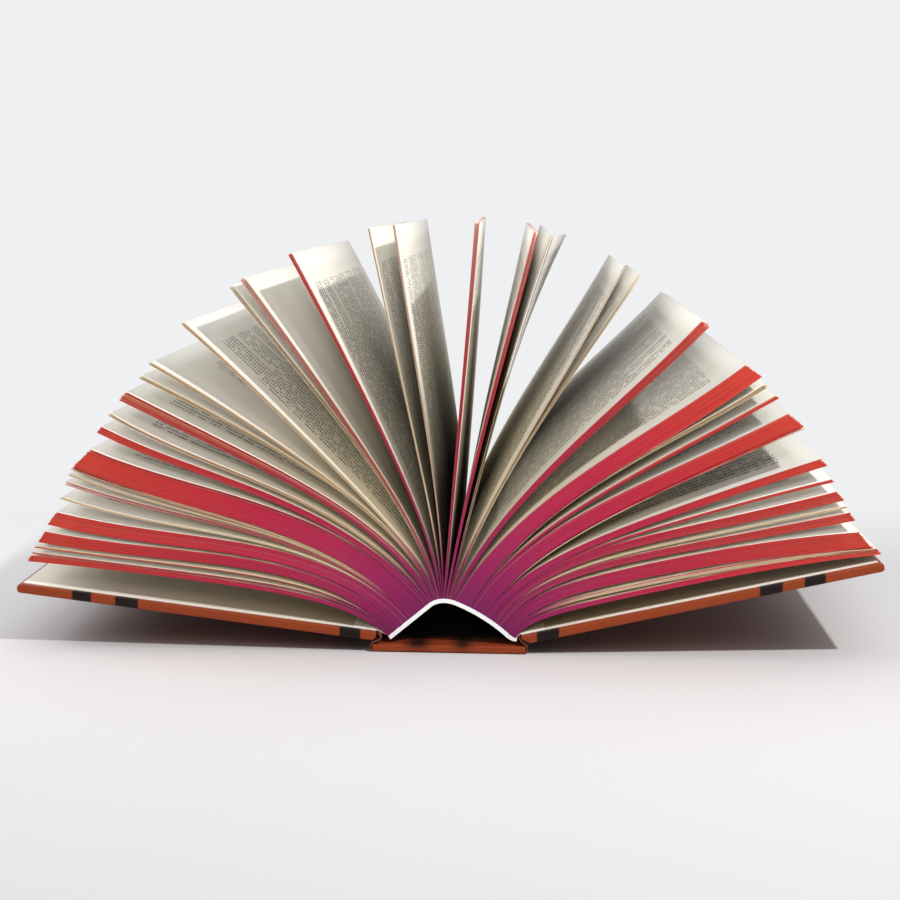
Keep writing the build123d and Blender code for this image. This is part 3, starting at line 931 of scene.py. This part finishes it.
lining_thickness = 0.0018
glue_overlap = 0.0001
card_stations = 60
card_line = []
for number in range(card_stations + 1):
    along = block_thickness * number / card_stations
    card_line.append(arch_point(along, lining_thickness / 2 - spring(along) - glue_overlap)[:2])
card_line = card_line[:-3]
x, z = card_line[-1]
foot_steps = ((0.0009, -0.0006), (0.0018, -0.0011), (0.0027, -0.0013), (0.0035, -0.0013))
card_line += [(x + outwards, z + upwards) for outwards, upwards in foot_steps]
lining_card, tree, surface = new_material("lining_card")
coordinates = tree.nodes.new("ShaderNodeTexCoord")
fibre = noise(tree, stretch(tree, coordinates.outputs["Object"], (1.0, 0.25, 1.0)), 1500.0, 4.0, 0.65)
stock = mix(tree, calc(tree, "MULTIPLY", fibre, 0.22), (0.93, 0.915, 0.92), (0.76, 0.73, 0.72))
tree.links.new(stock, surface.inputs["Base Color"])
surface.inputs["Roughness"].default_value = 0.9
surface.inputs["Specular IOR Level"].default_value = 0.15
bump(tree, surface, fibre, 0.00012, 0.6)


def add_pulp(name, scale, detail, grip, dark, pale, roughness=0.9, specular=0.1):
    """Plain matt pulp between two colours: a bare board, and near-black pulp for the lining's back and the
    spine board, painting the shade inside the hollow.
    """
    material, tree, surface = new_material(name)
    coordinates = tree.nodes.new("ShaderNodeTexCoord")
    fibre = noise(tree, coordinates.outputs["Object"], scale, detail, grip)
    tree.links.new(mix(tree, fibre, dark, pale), surface.inputs["Base Color"])
    surface.inputs["Roughness"].default_value = roughness
    surface.inputs["Specular IOR Level"].default_value = specular
    return material


# Painted shade: the lining's inner face is near-black pulp, for the dark inside the hollow.
lining_inside_shade = add_pulp("lining_inside_shade", 1200.0, 3.0, 0.6, (0.045, 0.036, 0.032), (0.075, 0.062, 0.056))
piece = add_bent_sheet("spine_lining_card", card_line, page_height, lining_thickness, card_stations)
piece.data.materials[0] = lining_card
piece.data.materials[1] = lining_card
piece.data.materials.append(lining_inside_shade)
for face in piece.data.polygons:
    if face.material_index == 0 and face.normal.z < 0:
        face.material_index = 2
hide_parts("spine_lining")
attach(piece, "block")

# Case
# Two cover boards and a spine board of grey pulp, wrapped in one sheet of printed paper. The
# print is orange-brown with dark stripes from head to tail, under a satin film.

# Painted shade: the spine board is near-black pulp for the dark inside the hollow; the cover boards are grey.
hollow_shade_board = add_pulp("hollow_shade_board", 600.0, 4.0, 0.7, (0.045, 0.036, 0.032), (0.075, 0.062, 0.056))
grey_board = add_pulp("grey_board", 600.0, 4.0, 0.7, (0.30, 0.28, 0.25), (0.42, 0.40, 0.36), 0.95, 0.5)
for name, board in (("front_board", grey_board), ("back_board", grey_board), ("spine_board", hollow_shade_board)):
    node = bpy.data.objects[name]
    node.data.materials.clear()
    node.data.materials.append(board)


def add_covering_print(name, stripes, softness, painted_shade_span=None):
    """Satin printed paper: dark stripes at places along X, in metres, on an orange-brown ground.
    Given a span of heights, the stripes are painted darker towards its top, as shade.
    """
    material, tree, surface = new_material(name)
    coordinates = tree.nodes.new("ShaderNodeTexCoord")
    in_book = apart(tree, coordinates.outputs["Object"])
    dark = None
    for low, high in stripes:
        middle, half = (low + high) / 2, (high - low) / 2
        from_middle = calc(tree, "ABSOLUTE", calc(tree, "SUBTRACT", in_book["X"], middle))
        inside = calc(tree, "DIVIDE", calc(tree, "SUBTRACT", half, from_middle), softness)
        node = tree.nodes.new("ShaderNodeClamp")
        tree.links.new(calc(tree, "ADD", inside, 0.5), node.inputs[0])
        dark = node.outputs[0] if dark is None else calc(tree, "MAXIMUM", dark, node.outputs[0])
    # Painted shade: the stripes grow darker towards the top of the span.
    if painted_shade_span:
        dark = calc(tree, "MULTIPLY", dark, spread(tree, in_book["Z"], *painted_shade_span, 0.35, 0.92))
    cloud = noise(tree, coordinates.outputs["Object"], 60.0, 3.0, 0.55)
    grain = noise(tree, stretch(tree, coordinates.outputs["Object"], (1.0, 0.3, 1.0)), 1400.0, 3.0, 0.6)
    ground = mix(tree, cloud, (0.30, 0.052, 0.012), (0.24, 0.040, 0.011))
    ground = mix(tree, calc(tree, "MULTIPLY", grain, 0.25), ground, (0.17, 0.030, 0.010))
    tree.links.new(mix(tree, dark, ground, (0.012, 0.0055, 0.0055)), surface.inputs["Base Color"])
    surface.inputs["Roughness"].default_value = 0.42
    surface.inputs["Specular IOR Level"].default_value = 0.18
    bump(tree, surface, grain, 0.00003, 0.5)
    return material


cover_print = add_covering_print(
    "cover_print",
    (
        (-0.1518, -0.1441),
        (-0.1344, -0.1251),
        (-0.0439, -0.0355),
        (0.0351, 0.0439),
        (0.1229, 0.1319),
        (0.1404, 0.1486),
    ),
    0.0005,
)
# On the spine's head edge two soft dark patches, painted darker towards the top as shade.
spine_print_and_shade = add_covering_print("spine_print_and_shade", ((-0.0170, -0.0085), (0.0022, 0.0085)), 0.005, (0.0015, 0.0028))
for name, print_sheet in (
    ("front_covering", cover_print),
    ("back_covering", cover_print),
    ("spine_covering", spine_print_and_shade),
):
    node = bpy.data.objects[name]
    node.data.materials.clear()
    node.data.materials.append(print_sheet)

# Joints
# The covering's free stretch between the spine board and each cover: thin paper, creased and
# dark along its edge, which bulges out at the spine's long edge and turns in up to the board.

joint_height = 0.2346
joint_thickness = 0.0004
joint_paper, tree, surface = new_material("joint_paper")
coordinates = tree.nodes.new("ShaderNodeTexCoord")
crease = noise(tree, stretch(tree, coordinates.outputs["Object"], (1.0, 0.05, 1.0)), 900.0, 3.0, 0.6)
tree.links.new(mix(tree, crease, (0.085, 0.032, 0.024), (0.17, 0.060, 0.040)), surface.inputs["Base Color"])
surface.inputs["Roughness"].default_value = 0.5
surface.inputs["Specular IOR Level"].default_value = 0.25
bump(tree, surface, crease, 0.00008, 0.5)
# In millimetres, from the spine board's underside round its edge and up to the cover.
joint_lines = {
    "back": ((-31.2, 0.4), (-31.6, 1.9), (-30.6, 3.5), (-28.8, 4.2), (-27.5, 4.9), (-27.3, 6.0), (-28.3, 7.3)),
    "front": ((30.9, 0.4), (31.5, 1.8), (31.2, 2.9), (30.0, 4.2), (28.6, 5.4), (28.2, 6.4)),
}
for cover, points in joint_lines.items():
    line = smooth_line([(x / 1000, z / 1000) for x, z in points], line_pieces)
    piece = add_bent_sheet(cover + "_joint_strip", line, joint_height, joint_thickness, 30)
    piece.data.materials[0] = joint_paper
    piece.data.materials[1] = joint_paper
    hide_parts(cover + "_joint")
    low, high = line[line_pieces], line[-1]
    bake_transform(piece)
